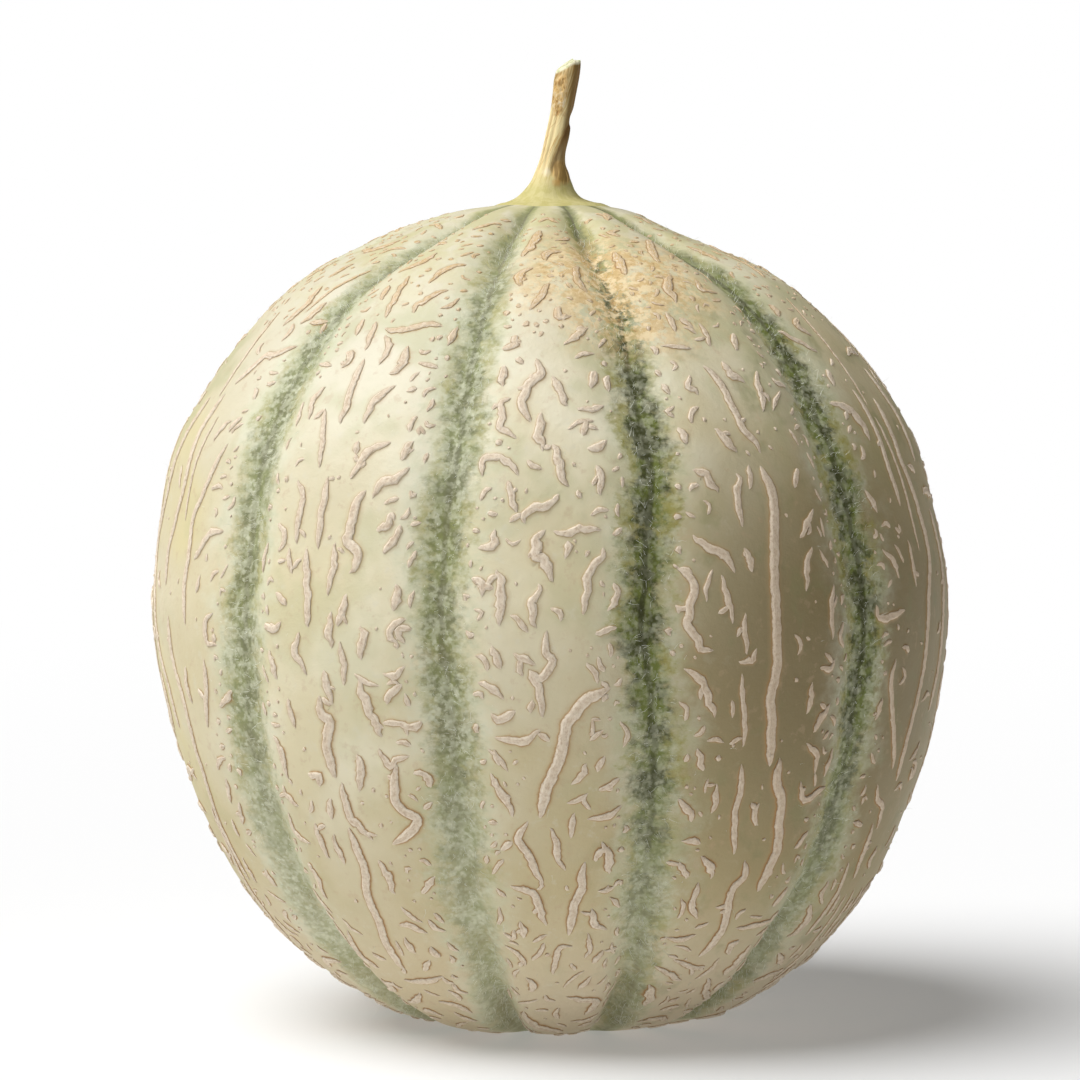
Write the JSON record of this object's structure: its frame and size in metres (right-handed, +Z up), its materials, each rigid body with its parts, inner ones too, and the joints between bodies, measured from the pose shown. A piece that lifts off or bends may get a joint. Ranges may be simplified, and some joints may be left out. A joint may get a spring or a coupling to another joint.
{
  "type": "cantaloupe melon",
  "caption": "Round ribbed cantaloupe melon with a raised corky net, green furrows between its lobes and a short dry stalk, standing on its blossom end.",
  "frame": {"origin": "on the flat spot that the melon rests on, under the middle of the fruit", "axes": "+Z up through the stalk, -Y towards the side that the picture shows, +X to that view's right"},
  "size_m": [0.1413, 0.1429, 0.1705],
  "materials": {
    "skin": "waxy satin rind, cream to beige, with green furrows and pale corky netting",
    "stalk": "dry ribbed straw-brown stalk, matte"
  },
  "bodies": {
    "root": {"fruit": "skin", "stalk": "stalk"}
  },
  "joints": []
}
